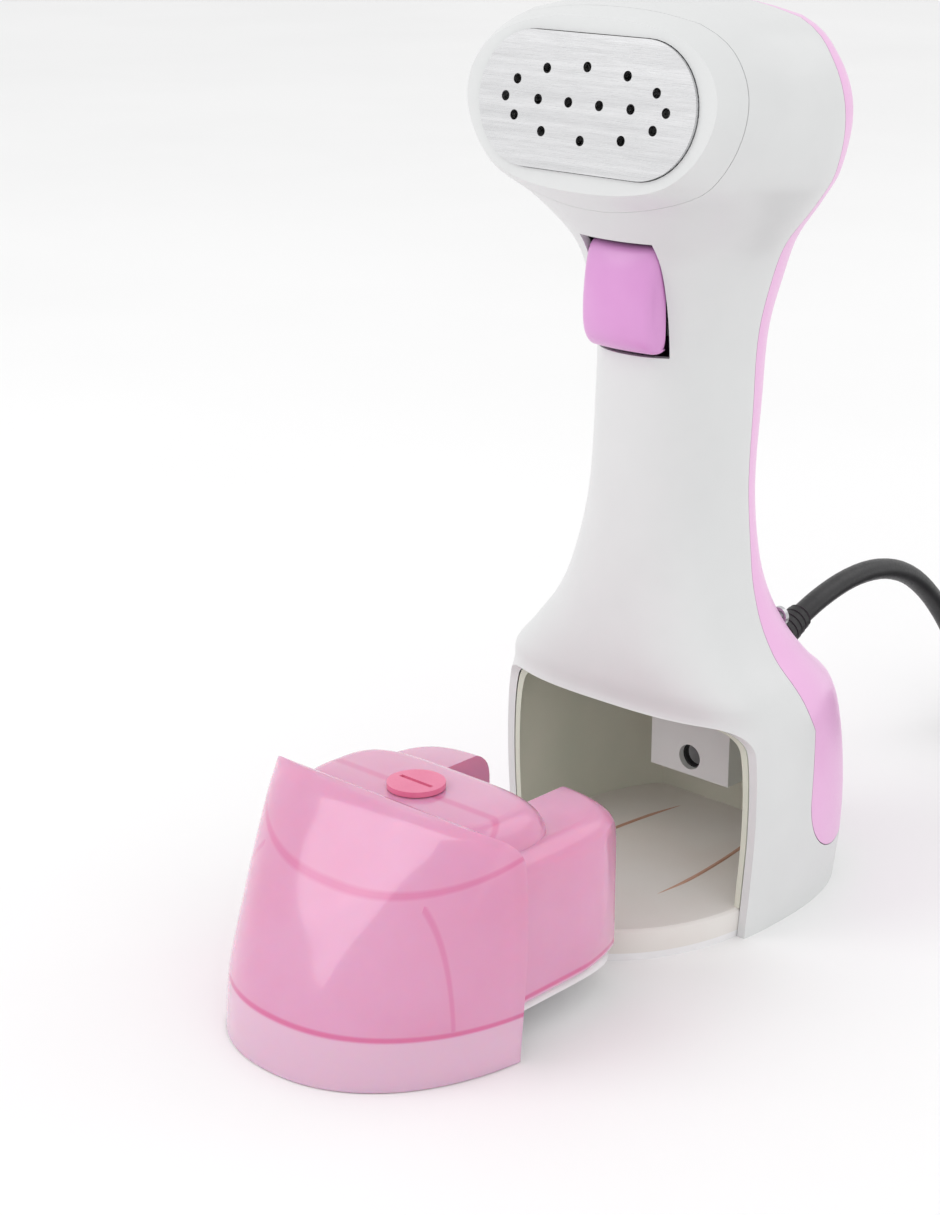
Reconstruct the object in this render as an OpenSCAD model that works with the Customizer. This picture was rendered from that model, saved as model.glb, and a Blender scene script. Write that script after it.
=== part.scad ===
// Handheld garment steamer with a pull-out water tank.
// Millimetres. +Z is up, the steam head and the tank face -Y, and z = 0 is the underside of the base.

/* [Base] */
// Width of the base across the side walls
base_w = 91; // [84:1:110]
// Reach of the base in front of the origin
base_front = 60; // [56:1:72]
// Reach of the base behind the origin
base_rear = 56; // [50:1:68]
// Height of the upper edge of the tank mouth
mouth_h = 61.5; // [56:0.5:72]
// Height of the lip and floor of the tank bay
floor_h = 8.5; // [7:0.5:11]

/* [Handle and head] */
// Width of the handle
handle_w = 41; // [38:1:50]
// Length of the handle between the base shoulder and the trigger
handle_l = 60; // [50:1:90]
// Width of the steam head
head_w = 97; // [90:1:116]
// Height of the steam head from its neck to its crown
head_h = 62; // [58:1:76]
// Backward tilt of the steam plate, in degrees
head_tilt = 8; // [0:1:12]

/* [Walls and fits] */
// Wall of the housing and the rear cover
wall = 2.4; // [2:0.1:3]
// Wall of the water tank
tank_wall = 2; // [1.6:0.1:2.6]
// Gap between covers that meet
seam = 0.2; // [0.1:0.05:0.4]
// Gap around the seated tank
tank_gap = 0.8; // [0.5:0.1:1.2]
// Radial clearance of pins and of the tank nozzle
running_fit = 0.05; // [0.02:0.01:0.1]

/* [Water tank] */
// Distance the tank is drawn out of its bay
tank_travel = 91; // [60:1:120]
// Height of the water outlet above the ground
outlet_z = 33; // [30:0.5:36]
// Bore of the intake socket
intake_d = 7.5; // [6.5:0.1:9]
// Diameter of the filler plug
plug_d = 15; // [12:0.5:18]

/* [Intake block] */
// Width of the block that hangs in the bay
block_w = 28; // [22:1:32]
// Depth at which the face of the block stands
block_y = 14.5; // [10:0.5:18]
// Height of the underside of the block
block_z = 27.5; // [24:0.5:29]

/* [Trigger] */
// Width of the trigger
trigger_w = 23; // [18:1:26]
// Height of the trigger
trigger_h = 29; // [24:1:32]
// Diameter of the trigger pin
pin_d = 3; // [2.5:0.1:4]

/* [Steam head] */
// Width of the steam plate
plate_w = 70; // [64:1:76]
// Height of the steam plate
plate_h = 34; // [30:1:38]
// Thickness of the steam plate
plate_t = 3; // [2:0.5:4]
// Diameter of one steam hole
steam_hole_d = 2.6; // [1.5:0.1:4]

/* [Cord] */
// Diameter of the mains cord
cord_d = 6.5; // [5.5:0.1:7.5]
// Diameter of the coil at the middle of its turns
coil_d = 67.8; // [66:0.2:78]

/* [Hidden] */

eps = 0.02;
sides = 44;
ring_step = 7;
far = 200;

// ---- Heights ----
shoulder_z = mouth_h + 6.5;
handle_z = mouth_h + 36;
handle_top = handle_z + handle_l;
neck_z = handle_top + 28;
total_h = neck_z + head_h;
crown_z = neck_z + 36;

// ---- Outer form: [height, half width, middle, front, rear, front squareness, rear squareness] ----
half_w = base_w / 2;
hand_w = handle_w / 2;
half_head = head_w / 2;
OUTER = [
    [0, half_w - 2.5, -2, -base_front, base_rear - 1.5, 2.2, 2.6],
    [14, half_w - 1.3, -2, 2.8 - base_front, base_rear, 2.2, 2.6],
    [mouth_h / 2, half_w, -2, 12.5 - base_front, base_rear - 0.5, 2.3, 2.5],
    [mouth_h - 11, half_w + 0.5, -1, 26.5 - base_front, base_rear - 3.5, 2.6, 2.3],
    [mouth_h, half_w, 0, 34.8 - base_front, base_rear - 9, 2.8, 2.2],
    [shoulder_z, half_w - 2.6, 0, -25.5, base_rear - 17.5, 3.2, 2.2],
    [shoulder_z + 8, half_w - 9.5, 0, -25.5, 32.5, 3, 2.2],
    [shoulder_z + 18, hand_w + 8.6, 0.5, -24.7, 28.4, 2.5, 2.2],
    [handle_z, hand_w + 4, 1.5, -23.4, 26.2, 2.3, 2.2],
    [handle_z + 19, hand_w + 0.3, 3, -21, 26.4, 2.2, 2.2],
    [handle_top - 16, hand_w, 5, -19.2, 28.3, 2.2, 2.2],
    [handle_top + 3, hand_w + 0.4, 6, -19, 30, 2.2, 2.2],
    [handle_top + 18, hand_w + 3.8, 6, -20.5, 33.5, 2.2, 2.2],
    [neck_z, hand_w + 8, 5, -24, 34.8, 2.2, 2.2],
    [neck_z + 11, half_head - 10.5, 3, -33, 34.5, 2.3, 2.2],
    [neck_z + 20, half_head - 4, 2, -43, 34, 2.8, 2.2],
    [neck_z + 36, half_head, 1, -48, 32, 3, 2.2],
    [neck_z + 49, half_head - 3.5, 0, -44, 26.5, 3, 2.2],
    [total_h - 4, half_head - 13, 0, -34, 19, 2.6, 2.2],
    [total_h, half_head - 30, -2, -20, 8, 2.3, 2.2]
];

// Slope of the outline at station i, per millimetre of height
function slope(s, i) =
    let (a = max(i - 1, 0), b = min(i + 1, len(s) - 1))
    (s[b] - s[a]) / (s[b][0] - s[a][0]);
// Smooth curve between stations i and i + 1
function between(s, z, i) =
    let (h = s[i + 1][0] - s[i][0], t = (z - s[i][0]) / h, u = 1 - t)
    s[i] * u * u * (1 + 2 * t) + slope(s, i) * h * t * u * u
    + s[i + 1] * t * t * (3 - 2 * t) - slope(s, i + 1) * h * t * t * u;
function section_at(s, z, i = 0) =
    i >= len(s) - 2 || z <= s[i + 1][0] ? between(s, z, i) : section_at(s, z, i + 1);
function power(v, n) = sign(v) * pow(abs(v), 2 / n);
// Ring of points around one section, drawn in by a wall
function ring(c, inset, z) = [
    for (i = [0:sides - 1])
        let (t = 360 * i / sides, s = sin(t), reach = s < 0 ? c[2] - c[3] : c[4] - c[2])
        [
            (c[1] - inset) * power(cos(t), s < 0 ? c[5] : c[6]),
            c[2] + (reach - inset) * power(s, s < 0 ? c[5] : c[6]),
            z
        ]
];
// Closed solid through a stack of rings that all have n points
function stack_points(rings) = [for (r = rings) for (p = r) p];
function stack_faces(m, n) = concat(
    [[for (i = [0:n - 1]) i]],
    [for (j = [0:m - 2]) for (i = [0:n - 1]) [j * n + i, (j + 1) * n + i, (j + 1) * n + (i + 1) % n]],
    [for (j = [0:m - 2]) for (i = [0:n - 1]) [j * n + i, (j + 1) * n + (i + 1) % n, j * n + (i + 1) % n]],
    [[for (i = [n - 1:-1:0]) (m - 1) * n + i]]
);
module stack(rings) {
    n = len(rings[0]);
    polyhedron(stack_points(rings), stack_faces(len(rings), n), convexity = 8);
}
// Height on the outer form that the drawn-in form follows, so that the crown keeps its wall
function outer_height(z, inset) = max(0, z + inset * max(0, (z - crown_z) / (total_h - inset - crown_z)));
// The outer form drawn in by a wall, between two heights
module form(inset, z0 = 0, z1 = total_h) {
    count = max(1, ceil((z1 - z0) / ring_step));
    stack([
        for (j = [0:count])
            let (z = z0 + (z1 - z0) * j / count)
            ring(section_at(OUTER, outer_height(z, inset)), inset, z)
    ]);
}
// Freeform shells keep flat facets as one mesh
module moulded() {
    resize([0, 0, 0]) children();
}

// ---- Tube swept along points, with a round section ----
function unit(v) = v / norm(v);
function heading(p, i) = unit(p[min(i + 1, len(p) - 1)] - p[max(i - 1, 0)]);
function side_of(d, up) = unit(cross(d, up));
module tube(points, r, n, up) {
    stack([
        for (i = [0:len(points) - 1])
            let (d = heading(points, i), a = side_of(d, up), b = cross(d, a))
            [for (k = [0:n - 1]) points[i] + r * (cos(360 * k / n) * a + sin(360 * k / n) * b)]
    ]);
}
// Points of a smooth curve through a short list
function curve(p, steps) = concat(
    [
        for (i = [0:len(p) - 2])
            for (j = [0:steps - 1])
                let (
                    t = j / steps,
                    a = p[max(i - 1, 0)],
                    b = p[i],
                    c = p[i + 1],
                    d = p[min(i + 2, len(p) - 1)]
                )
                (2 * b + (c - a) * t + (2 * a - 5 * b + 4 * c - d) * t * t + (3 * b - a - 3 * c + d) * t * t * t) / 2
    ],
    [p[len(p) - 1]]
);

// A hose through a list of points, open at both ends
module hose(points) {
    path = curve(points, 4);
    last = len(path) - 1;
    ends = [2 * path[0] - path[1], 2 * path[last] - path[last - 1]];
    moulded() difference() {
        tube(path, hose_r, 12, [1, 0, 0]);
        tube(concat([ends[0]], [for (i = [1:last - 1]) path[i]], [ends[1]]), nipple_r + 0.1, 12, [1, 0, 0]);
    }
}

// ---- Plain shapes ----
module box(x, y, z) {
    translate([x[0], y[0], z[0]]) cube([x[1] - x[0], y[1] - y[0], z[1] - z[0]]);
}
// A cylinder that points along +Y
module rod_y(r, y0, y1, x = 0, z = 0) {
    translate([x, y0, z]) rotate([-90, 0, 0]) cylinder(r = r, h = y1 - y0, $fn = 48);
}
module rod_x(r, x0, x1, y, z) {
    translate([x0, y, z]) rotate([0, 90, 0]) cylinder(r = r, h = x1 - x0, $fn = 48);
}
module rod_z(r, z0, z1, x = 0, y = 0) {
    translate([x, y, z0]) cylinder(r = r, h = z1 - z0, $fn = 48);
}
// A flat side profile in Y and Z, as wide as the object
module side_profile(width = far) {
    translate([-width / 2, 0, 0]) rotate([90, 0, 90]) linear_extrude(width) children();
}
module stadium(w, h) {
    square([w - h, h], center = true);
    for (side = [-1, 1]) translate([side * (w - h) / 2, 0]) circle(d = h, $fn = 64);
}

// ---- Places in the base ----
mouth_edge = -14;
mouth_r = 8;
tray_in = tank_wall + 3 * seam;
liner_in = wall + 2 * seam;
liner_t = 1.6;
bay_in = liner_in + liner_t;
bay_rear = 40;
base_cover_t = 2;
tray_t = 2;
base_screw_at = [[30, -30], [26, 36]];
base_screw_r = 1.5;
screw_head_r = 2.8;

// ---- Places in the tank ----
vessel_in = bay_in + tank_gap;
vessel_half = half_w - 7.3;
vessel_rear = bay_rear - 3;
skirt_z = 0.3;
tank_base_z = floor_h + 1;
tank_base_t = 3;
vessel_z = tank_base_z + tank_base_t;
vessel_top = mouth_h - 10;
plug_t = 1.4;
hump_top = mouth_h - tank_gap - plug_t - 0.3;
crest_r = 3;
filler_y = -7;
shank_r = plug_d / 2 - 2;
notch_w = block_w + 3 * tank_gap;
notch_y = block_y - 1.2;
notch_z = block_z - 2;
nozzle_r = intake_d / 2 - 0.5;
nozzle_end = block_y + 9;
flange_y = notch_y - tank_wall - 2.5;
cage_y = flange_y - 12;
cage_r = 5.4;
stem_r = 1.75;
valve_lift = 1.8;

// ---- Places in the handle ----
pump_r = 10.5;
pump_y = 8;
pump_z = handle_z - 14;
pump_l = 42;
nipple_r = 2.05;
hose_r = 3.2;
spine_y = 19.5;
spine_t = 2;
spine_w = 18;
trigger_top = neck_z + 1.5;
trigger_low = trigger_top - trigger_h;
pivot = [-13.5, trigger_top - 4.5];
lug_t = 3.2;
switch_y = -9;
cover_post = [21, shoulder_z + 10];
spine_screw_z = handle_top - 6;
post_head_y = 25.4;
spine_head_y = 28.4;

// ---- Places in the head ----
head_z = neck_z + 37.5;
face_y = -36;
bezel_t = 7;
plate_proud = 1;
gasket_t = 2;
block_y1 = plate_t - plate_proud + gasket_t;
block_t = 13;
block_back = block_y1 + block_t;
heater_w = plate_w - 10;
heater_h = plate_h - 4;
element_r = 3;
element_z = heater_h / 2 - 6;
element_x = heater_w / 2 - 14;

// ---- Places of the cord ----
cord_r = cord_d / 2;
gland = [0, 46, 55.5];
gland_rise = 20;
gland_l = 22;
gland_r = 5.2;
wire_x = 10;
CORD = [
    [0, 66.7, 63], [0, 76, 65.9], [0, 88, 68.2], [0, 100, 68.6], [0, 112, 66.8], [0, 124, 62.2], [0.3, 135, 54.5],
    [1, 145, 44], [1.8, 153.5, 32.5], [2.7, 162, 21.5], [3.6, 171, 12.6], [4.5, 181, 7], [5, 190, 4.9]
];
coil_at = [44, 196];
coil_z = 1.3;
coil_w = 2.65 * cord_d;
coil_h = 4 * cord_d;
coil_out = (coil_d + coil_w) / 2;
plug_r = 14.5;
plug_l = 38;
plug_neck = 20;
plug_pin_l = 19;
plug_pin_r = 2.4;
plug_pin_gap = 19;
tail_x = coil_at[0] + coil_out - cord_r;
tail_y = coil_at[1] - 44;
tail_z = plug_r + 0.5;
TAIL = [
    [tail_x, coil_at[1] - 3, coil_z + coil_h - cord_r], [tail_x, coil_at[1] - 14, coil_z + coil_h - cord_r - 1.5],
    [tail_x, coil_at[1] - 25, tail_z + 4], [tail_x, coil_at[1] - 35, tail_z + 0.8], [tail_x, tail_y, tail_z]
];

// The mouth of the bay seen from the side, drawn in by a gap
module mouth_profile(gap, low, top) {
    r = mouth_r - gap;
    back = mouth_edge - gap;
    translate([-far, low]) square([far + back - r, top - low]);
    translate([-far, low]) square([far + back, top - r - low]);
    translate([back - r, top - r]) circle(r = r, $fn = 40);
}
// The parting line of the rear cover seen from the side, moved back by a gap
module cover_profile(gap) {
    y = 11 + gap;
    z = 14 + gap;
    corner = 20;
    polygon(concat(
        [[far, z]],
        [for (a = [90:-10:0]) [y + corner - corner * cos(a), z + corner - corner * sin(a)]],
        [
            [y, mouth_h - 7],
            [y - 4.5, mouth_h + 1],
            [y - 7.5, shoulder_z + 3],
            [y - 7.5, shoulder_z + 11],
            [y - 4, handle_z - 4],
            [y - 0.5, handle_z + 14],
            [y + 0.5, handle_top - 10],
            [y + 1, neck_z],
            [y - 1, neck_z + 20],
            [y - 6, total_h - 18],
            [y - 7, total_h + 10],
            [far, total_h + 10]
        ]
    ));
}
// Everything in front of a depth behind the tilted face of the head
module on_head() {
    translate([0, face_y, head_z]) rotate([-head_tilt, 0, 0]) children();
}
module before_head(depth) {
    on_head() translate([-far / 2, -far, -far / 2]) cube([far, far + depth, far]);
}
module head_slab(w, h, y0, y1) {
    on_head() translate([0, y1, 0]) rotate([90, 0, 0]) linear_extrude(y1 - y0) stadium(w, h);
}
module both_sides() {
    children();
    mirror([1, 0, 0]) children();
}
module drawn_out() {
    translate([0, -tank_travel, 0]) children();
}
module on_gland() {
    translate(gland) rotate([gland_rise - 90, 0, 0]) children();
}

// ---- Housing ----
module front_housing() {
    color("whitesmoke") difference() {
        moulded() difference() {
            union() {
                difference() {
                    form(0);
                    form(wall, -1, total_h - wall);
                    side_profile() cover_profile(0);
                    side_profile() mouth_profile(0, -1, mouth_h);
                    before_head(bezel_t);
                }
                intersection() {
                    form(wall - 0.4);
                    housing_lugs();
                }
            }
            box([-trigger_w / 2 - 0.5, trigger_w / 2 + 0.5], [-60, -8], [trigger_low - 1, trigger_top + 0.8]);
        }
        rod_x(pin_d / 2 + 0.02, -20, 20, pivot[0], pivot[1]);
        both_sides() rod_y(base_screw_r, -5, far, cover_post[0], cover_post[1]);
    }
}
module housing_lugs() {
    both_sides() {
        box([trigger_w / 2 + 0.8, trigger_w / 2 + 0.8 + lug_t], [-60, pivot[0] + 4], [pivot[1] - 4, pivot[1] + 4]);
        rod_y(3.6, -40, 12, cover_post[0], cover_post[1]);
    }
}
module rear_cover() {
    color("orchid") difference() {
        moulded() intersection() {
            difference() {
                form(0);
                form(wall, -1, total_h - wall);
            }
            side_profile() cover_profile(seam);
        }
        on_gland() translate([0, 0, -30]) cylinder(r = gland_r + 0.1, h = 60, $fn = 48);
        both_sides() {
            rod_y(base_screw_r + 0.1, 0, far, cover_post[0], cover_post[1]);
            rod_y(screw_head_r + 0.2, post_head_y - 0.1, far, cover_post[0], cover_post[1]);
        }
        rod_y(base_screw_r + 0.1, 15, far, 0, spine_screw_z);
        rod_y(screw_head_r + 0.2, spine_head_y - 0.1, far, 0, spine_screw_z);
    }
}

// ---- Base ----
// Grooves that let the wires past the rear top corner of the bay
module wire_grooves() {
    both_sides() box([wire_x - 1.6, wire_x + 1.6], [bay_rear - 3.5, bay_rear + 5], [53, mouth_h + 5]);
}

module bay_liner() {
    color("ivory") difference() {
        moulded() difference() {
            intersection() {
                form(liner_in, floor_h, mouth_h + liner_t);
                box([-far, far], [-far, bay_rear + liner_t], [0, far]);
            }
            intersection() {
                form(bay_in, floor_h - 1, mouth_h);
                box([-far, far], [-far, bay_rear], [-far, far]);
            }
            side_profile() mouth_profile(0, -1, mouth_h);
        }
        rod_z(4.2, mouth_h - 1, mouth_h + 5, 0, 28);
        wire_grooves();
    }
}
module floor_tray() {
    color("whitesmoke") difference() {
        union() {
            moulded() difference() {
                form(tray_in, base_cover_t, floor_h);
                form(tray_in + tray_t, base_cover_t - 1, floor_h - tray_t);
            }
            both_sides() for (p = base_screw_at) rod_z(3.6, base_cover_t, floor_h - 1, p[0], p[1]);
            both_sides() floor_ridge();
        }
        both_sides() for (p = base_screw_at) rod_z(base_screw_r, 0, floor_h - 2, p[0], p[1]);
    }
}
// A low curved rib that guides the tank over the floor
module floor_ridge() {
    intersection() {
        translate([-34, -8, floor_h - 0.5]) difference() {
            cylinder(r = 65, h = 1, $fn = 96);
            translate([0, 0, -1]) cylinder(r = 64, h = 3, $fn = 96);
        }
        box([10, 34], [-40, 16], [0, far]);
    }
}
module base_cover() {
    color("gainsboro") difference() {
        moulded() form(tray_in, 0, base_cover_t);
        both_sides() for (p = base_screw_at) {
            rod_z(base_screw_r + 0.2, -1, 5, p[0], p[1]);
            rod_z(3.3, -1, 1.3, p[0], p[1]);
        }
    }
}
module base_screws() {
    color("silver") both_sides() for (p = base_screw_at) translate([p[0], p[1], 0]) {
        difference() {
            union() {
                rod_z(base_screw_r - running_fit, 1, floor_h - 2.5);
                rod_z(3, 0.3, 1.2);
            }
            box([-2, 2], [-0.35, 0.35], [0, 0.8]);
            box([-0.35, 0.35], [-2, 2], [0, 0.8]);
        }
    }
}
module cover_screw(y0, y1, x, z) {
    difference() {
        union() {
            rod_y(base_screw_r - running_fit, y0, y1 + 1, x, z);
            rod_y(screw_head_r, y1, y1 + 1.4, x, z);
        }
        box([x - 2, x + 2], [y1 + 0.8, y1 + 2], [z - 0.35, z + 0.35]);
        box([x - 0.35, x + 0.35], [y1 + 0.8, y1 + 2], [z - 2, z + 2]);
    }
}
module cover_screws() {
    color("silver") {
        both_sides() cover_screw(4, post_head_y, cover_post[0], cover_post[1]);
        cover_screw(spine_y + 0.5, spine_head_y, 0, spine_screw_z);
    }
}

// ---- Water intake ----
module intake_block() {
    color("white") difference() {
        union() {
            box([-block_w / 2, block_w / 2], [block_y, bay_rear], [block_z, mouth_h]);
            rod_z(nipple_r, mouth_h - 1, mouth_h + 3.6, 0, 28);
        }
        rod_y(intake_d / 2, block_y - 1, nozzle_end + 0.5, 0, outlet_z);
        rod_y(intake_d / 2 + 0.9, block_y + 2, block_y + 4, 0, outlet_z);
        rod_y(1.2, nozzle_end, 28, 0, outlet_z);
        rod_z(1.2, outlet_z - 1.2, mouth_h + 7, 0, 28);
        wire_grooves();
    }
}
module intake_seal() {
    color("dimgray") translate([0, block_y + 2.1, outlet_z]) rotate([-90, 0, 0]) rotate_extrude($fn = 64)
        translate([nozzle_r + running_fit, 0]) square([intake_d / 2 + 0.8 - nozzle_r - running_fit, 1.8]);
}
module intake_tube() {
    color("lightgray") hose([
        [0, 28, mouth_h + 1.8], [0, 28, mouth_h + 4.6], [0, 26, mouth_h + 8.2], [0, 20.5, mouth_h + 10.8],
        [0, 13.5, mouth_h + 12], [0, pump_y + 1, pump_z - 7.5], [0, pump_y, pump_z - 4], [0, pump_y, pump_z - 0.5]
    ]);
}

// ---- Water tank ----
module vessel(inset, z0, top) {
    rear = vessel_rear - inset;
    wide = vessel_half - inset;
    intersection() {
        form(vessel_in + inset, z0, top);
        stack([
            for (r = [[z0 - 1, 0], [top - 7, 0], [top - 3, 0.8], [top - 1, 2.5], [top, 5]])
                ring([0, wide, 0, -60, rear, 4, 5], r[1], r[0])
        ]);
    }
}
module hump(inset, z0, top) {
    stack([
        for (r = [
            [z0, -2], [top - 9, 0], [top - 6, 0.5], [top - 3.6, 1.6], [top - 1.7, 3.2], [top - 0.5, 5], [top, 7]
        ])
            ring([0, 34 - inset, -8, -28 + inset, notch_y - inset, 3, 4], r[1], r[0])
    ]);
}
// The outer form with its top edge rolled over
module crested(inset, top) {
    shoulder = top - crest_r;
    stack([
        for (j = [0:8]) let (z = shoulder * j / 8) ring(section_at(OUTER, max(z, 0)), inset, z - (j == 0 ? 1 : 0)),
        for (t = [22.5:22.5:90])
            let (z = shoulder + crest_r * sin(t)) ring(section_at(OUTER, z), inset + crest_r * (1 - cos(t)), z)
    ]);
}
module facade(inset, low, top) {
    intersection() {
        crested(inset, top);
        side_profile() mouth_profile(0.4 + inset, low, top);
    }
}
// The space that the intake block takes out of the tank, grown by a wall
module notch(grow) {
    box([-notch_w / 2 - grow, notch_w / 2 + grow], [notch_y - grow, far], [notch_z - grow, far]);
}
module tank_shell() {
    color("hotpink", 0.6) drawn_out() difference() {
        moulded() difference() {
            union() {
                facade(0, skirt_z, mouth_h - 0.4);
                vessel(0, vessel_z, vessel_top);
                hump(0, vessel_top - 6, hump_top);
            }
            difference() {
                union() {
                    facade(tank_wall, vessel_z - 1, mouth_h - 0.4 - tank_wall);
                    vessel(tank_wall, vessel_z - 1, vessel_top - tank_wall);
                    hump(tank_wall, vessel_top - 8, hump_top - tank_wall);
                }
                notch(tank_wall);
            }
            notch(0);
            form(tank_wall, -1, vessel_z);
        }
        rod_y(nozzle_r, 0, far, 0, outlet_z);
        rod_z(shank_r + 0.7, hump_top - 5, far, 0, filler_y);
    }
}
module tank_base() {
    color("white") drawn_out() moulded() union() {
        intersection() {
            form(tank_wall + seam, tank_base_z, vessel_z);
            box([-far, far], [-far, mouth_edge - 0.4], [0, far]);
        }
        intersection() {
            vessel(0, tank_base_z, vessel_z);
            box([-far, far], [mouth_edge - 1, far], [0, far]);
        }
        difference() {
            vessel(tank_wall + seam, vessel_z - 0.5, vessel_z + 2);
            vessel(2 * tank_wall + seam, vessel_z - 2, vessel_z + 3);
        }
    }
}
module tank_nozzle() {
    color("white") drawn_out() difference() {
        union() {
            rod_y(nozzle_r, flange_y, nozzle_end, 0, outlet_z);
            rod_y(nozzle_r + 3, flange_y, flange_y + 1.5, 0, outlet_z);
            rod_y(cage_r, cage_y, flange_y + 1, 0, outlet_z);
        }
        rod_y(stem_r + running_fit, cage_y - 1, nozzle_end + 1, 0, outlet_z);
        rod_y(cage_r - 1, cage_y + 1, flange_y, 0, outlet_z);
        box([-far, far], [cage_y + 2.5, flange_y - 2.5], [outlet_z - 2.2, outlet_z + 2.2]);
        box([-2.2, 2.2], [cage_y + 2.5, flange_y - 2.5], [outlet_z - 9, outlet_z + 9]);
    }
}
module nozzle_ring() {
    color("dimgray") drawn_out() translate([0, flange_y + 1.5, outlet_z]) rotate([-90, 0, 0])
        rotate_extrude($fn = 64) translate([nozzle_r, 0]) square([2.4, 1]);
}
// A fluted stem with a valve disc; the water runs between its fins
module valve_stem() {
    color("silver") drawn_out() {
        fin = stem_r * 2 * cos(12);
        for (turn = [0, 90]) translate([0, cage_y - 0.5, outlet_z]) rotate([0, turn, 0])
            translate([-0.35, 0, -fin / 2]) cube([0.7, nozzle_end - cage_y + 0.4, fin]);
        rod_y(cage_r - 1.6, flange_y - 2, flange_y - 0.4, 0, outlet_z);
    }
}
module valve_spring() {
    y0 = cage_y + 1.1;
    y1 = flange_y - 2 - valve_lift - 0.1;
    r = stem_r + 0.85;
    path = [for (i = [0:60]) [r * cos(i * 24), y0 + 0.3 + (y1 - y0 - 0.6) * i / 60, outlet_z + r * sin(i * 24)]];
    color("silver") drawn_out() tube(path, 0.3, 6, [0, 1, 0.01]);
}
module filler_plug() {
    color("deeppink") drawn_out() difference() {
        union() {
            rod_z(plug_d / 2, hump_top + 0.3, hump_top + 0.3 + plug_t, 0, filler_y);
            rod_z(shank_r, hump_top - 5, hump_top + 0.5, 0, filler_y);
        }
        translate([0, filler_y, hump_top + plug_t]) cube([plug_d - 4, 1.2, 1.6], center = true);
        rod_z(shank_r + 1, hump_top - 2.6, hump_top - 1.2, 0, filler_y + far);
        rod_z(shank_r - 1.5, hump_top - 6, hump_top - 1, 0, filler_y);
    }
}
module plug_seal() {
    color("dimgray") drawn_out() translate([0, filler_y, hump_top - 1.7]) rotate_extrude($fn = 64)
        translate([shank_r, 0]) square([0.7 - running_fit, 1.2]);
}

// ---- Trigger ----
module trigger() {
    y = pivot[0];
    z = pivot[1];
    color("orchid") difference() {
        intersection() {
            side_profile(trigger_w) polygon([
                [y - 3, trigger_top], [y - 8, trigger_top - 0.6], [y - 10.5, trigger_top - 4],
                [y - 12, trigger_top - 12], [y - 12.4, trigger_low + 9], [y - 11.6, trigger_low + 4],
                [y - 9, trigger_low + 1], [y - 6, trigger_low], [y - 3, trigger_low + 0.8], [y - 2, trigger_low + 4],
                [y - 2, z - 5], [y + 2, z - 2.6], [y + 2.6, z], [y + 1.6, z + 2.4]
            ]);
            translate([0, y + 15, trigger_low - 1]) cylinder(r = 27.6, h = trigger_h + 2, $fn = 96);
        }
        box([-6, 6], [y - 4.5, far], [z - 9, far]);
        rod_x(pin_d / 2 + running_fit, -20, 20, y, z);
    }
}
module trigger_pin() {
    reach = trigger_w / 2 + 0.8 + lug_t;
    color("silver") rod_x(pin_d / 2, -reach, reach, pivot[0], pivot[1]);
}
// Torsion spring around the pin, with one leg against the trigger and one along the pin's frame
module trigger_spring() {
    r = pin_d / 2 + 0.8;
    leg = 8;
    turns = [for (i = [0:54]) [-3.4 + 6.8 * i / 54, pivot[0] - r * cos(i * 30), pivot[1] - r * sin(i * 30)]];
    start = [-3.4, pivot[0] - r, pivot[1] + leg * 0.35];
    finish = [3.4, pivot[0] + r, pivot[1] - leg];
    color("silver") tube(concat([start], turns, [finish]), 0.4, 6, [1, 0.01, 0]);
}
module micro_switch() {
    z0 = trigger_low + 3;
    color("black") difference() {
        union() {
            box([-5, 5], [switch_y, switch_y + 10], [z0, z0 + 19]);
            rod_y(1.5, switch_y - 2.6, switch_y + 1, 0, z0 + 6);
            for (z = [z0 + 3, z0 + 9.5, z0 + 16]) box([-2.5, 2.5], [switch_y + 9, switch_y + 12.5], [z - 0.3, z + 0.3]);
        }
        for (z = [z0 + 3, z0 + 16]) rod_x(1.5, -10, 10, switch_y + 7, z);
    }
}

// ---- Pump and its frame ----
module pump() {
    color("steelblue") {
        rod_z(pump_r, pump_z, pump_z + pump_l, 0, pump_y);
        rod_z(nipple_r, pump_z - 4, pump_z + 1, 0, pump_y);
        rod_z(nipple_r, pump_z + pump_l - 1, pump_z + pump_l + 8, 0, pump_y);
    }
}
module inner_frame() {
    top = head_z - 14;
    color("lightgray") difference() {
        union() {
            box([-spine_w / 2, spine_w / 2], [spine_y, spine_y + spine_t], [shoulder_z + 6, top]);
            for (z = [pump_z + 6, pump_z + pump_l - 12]) pump_saddle(z);
            both_sides() box([5.2, 7.2], [switch_y + 1, spine_y + 1], [trigger_low + 3, trigger_low + 22]);
            rod_y(3.6, spine_y, spine_y + 5, 0, spine_screw_z);
        }
        rod_y(base_screw_r, spine_y - 5, far, 0, spine_screw_z);
        box([-hose_r - 0.8, hose_r + 0.8], [spine_y - 1, far], [0, pump_z + 4]);
        both_sides() rod_x(1.5, 0, 20, switch_y + 7, trigger_low + 6);
    }
}
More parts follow.
